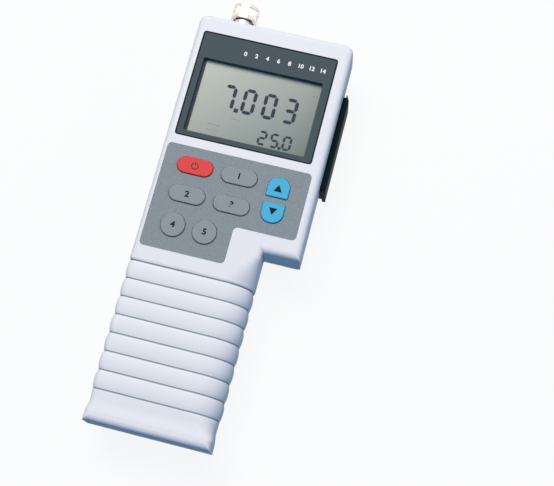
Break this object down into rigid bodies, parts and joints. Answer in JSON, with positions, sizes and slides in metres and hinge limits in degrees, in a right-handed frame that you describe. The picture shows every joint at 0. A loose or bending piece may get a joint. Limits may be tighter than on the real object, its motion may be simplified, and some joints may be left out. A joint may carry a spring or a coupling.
{
  "type": "hand-held ion meter",
  "caption": "Hand-held ion meter: wide head with display and keypad on a narrower ribbed grip, with a capped electrode connector on top and a covered socket bay at the side.",
  "frame": {"origin": "on the flat back, on the head's centre line, halfway along the case", "axes": "+X to the right across the face, +Y up the instrument towards its connector, +Z out of the face"},
  "size_m": [0.0877, 0.2411, 0.0369],
  "materials": {
    "case_white": "fine matte moulded plastic",
    "bezel_slate": "satin printed panel",
    "keypad_grey": "matte panel",
    "key_grey": "matte keycap",
    "key_red": "matte keycap",
    "key_blue": "matte keycap",
    "lens_clear": "clear",
    "lcd_face": "film",
    "lcd_glass": "clear",
    "lcd_backing": "grey-green film",
    "black_plastic": "matte",
    "grey_rubber": "matte",
    "board_green": "solder mask",
    "steel": "plain",
    "copper": "tinned wire",
    "nickel": "bright nickel plate",
    "insulator_white": "matte",
    "brass": "bright",
    "cover_black": "matte moulded rubber",
    "battery_jacket": "plain jacket"
  },
  "bodies": {
    "case": {"front_shell": "case_white", "rear_shell": "case_white", "display_bezel": "bezel_slate", "display_window": "lens_clear", "lcd_polarizer": "lcd_face", "lcd_glass": "lcd_glass", "lcd_reflector": "lcd_backing", "lcd_frame": "black_plastic", "zebra_strips": "grey_rubber", "main_board": "board_green", "keypad_panel": "keypad_grey", "snap_domes": "steel", "processor_chip": "black_plastic", "converter_chip": "black_plastic", "input_shield": "steel", "crystal": "steel", "capacitors": "black_plastic", "input_lead": "copper", "bnc_jack": "nickel", "bnc_insulator": "insulator_white", "bnc_contact": "brass", "bnc_washer": "nickel", "bnc_nut": "nickel", "temperature_socket": "black_plastic", "data_socket": "black_plastic", "power_jack": "black_plastic", "battery": "battery_jacket", "battery_snap": "black_plastic", "battery_leads": "black_plastic", "case_screws": "steel", "board_screws": "steel"},
    "power_key": {"power_key": "key_red"},
    "mode_key": {"mode_key": "key_grey"},
    "resolution_key": {"resolution_key": "key_grey"},
    "clear_key": {"clear_key": "key_grey"},
    "standard_key": {"standard_key": "key_grey"},
    "slope_key": {"slope_key": "key_grey"},
    "up_key": {"up_key": "key_blue"},
    "down_key": {"down_key": "key_blue"},
    "cap": {"cap_plug": "nickel"},
    "collar": {"cap_collar": "nickel"},
    "side_cover": {"port_cover": "cover_black"},
    "door": {"battery_door": "case_white", "door_screws": "steel"}
  },
  "joints": [
    {"name": "power_key_press", "type": "slide", "parent": "case", "child": "power_key", "axis": [0, 0, -1], "range_m": [0, 0.0008], "stiffness_N_per_m": 1500},
    {"name": "mode_key_press", "type": "slide", "parent": "case", "child": "mode_key", "axis": [0, 0, -1], "range_m": [0, 0.0008], "stiffness_N_per_m": 1500},
    {"name": "resolution_key_press", "type": "slide", "parent": "case", "child": "resolution_key", "axis": [0, 0, -1], "range_m": [0, 0.0008], "stiffness_N_per_m": 1500},
    {"name": "clear_key_press", "type": "slide", "parent": "case", "child": "clear_key", "axis": [0, 0, -1], "range_m": [0, 0.0008], "stiffness_N_per_m": 1500},
    {"name": "standard_key_press", "type": "slide", "parent": "case", "child": "standard_key", "axis": [0, 0, -1], "range_m": [0, 0.0008], "stiffness_N_per_m": 1500},
    {"name": "slope_key_press", "type": "slide", "parent": "case", "child": "slope_key", "axis": [0, 0, -1], "range_m": [0, 0.0008], "stiffness_N_per_m": 1500},
    {"name": "up_key_press", "type": "slide", "parent": "case", "child": "up_key", "axis": [0, 0, -1], "range_m": [0, 0.0008], "stiffness_N_per_m": 1500},
    {"name": "down_key_press", "type": "slide", "parent": "case", "child": "down_key", "axis": [0, 0, -1], "range_m": [0, 0.0008], "stiffness_N_per_m": 1500},
    {"name": "cap_pull", "type": "slide", "parent": "case", "child": "cap", "axis": [0, 1, 0], "range_m": [0, 0.012]},
    {"name": "collar_turn", "type": "hinge", "parent": "cap", "child": "collar", "pos_m": [-0.022, 0.112, 0.018], "axis": [0, 1, 0], "range_deg": [0, 90]},
    {"name": "side_cover_pull", "type": "slide", "parent": "case", "child": "side_cover", "axis": [1, 0, 0], "range_m": [0, 0.008]},
    {"name": "door_lift", "type": "slide", "parent": "case", "child": "door", "axis": [0, 0, -1], "range_m": [0, 0.012]}
  ]
}
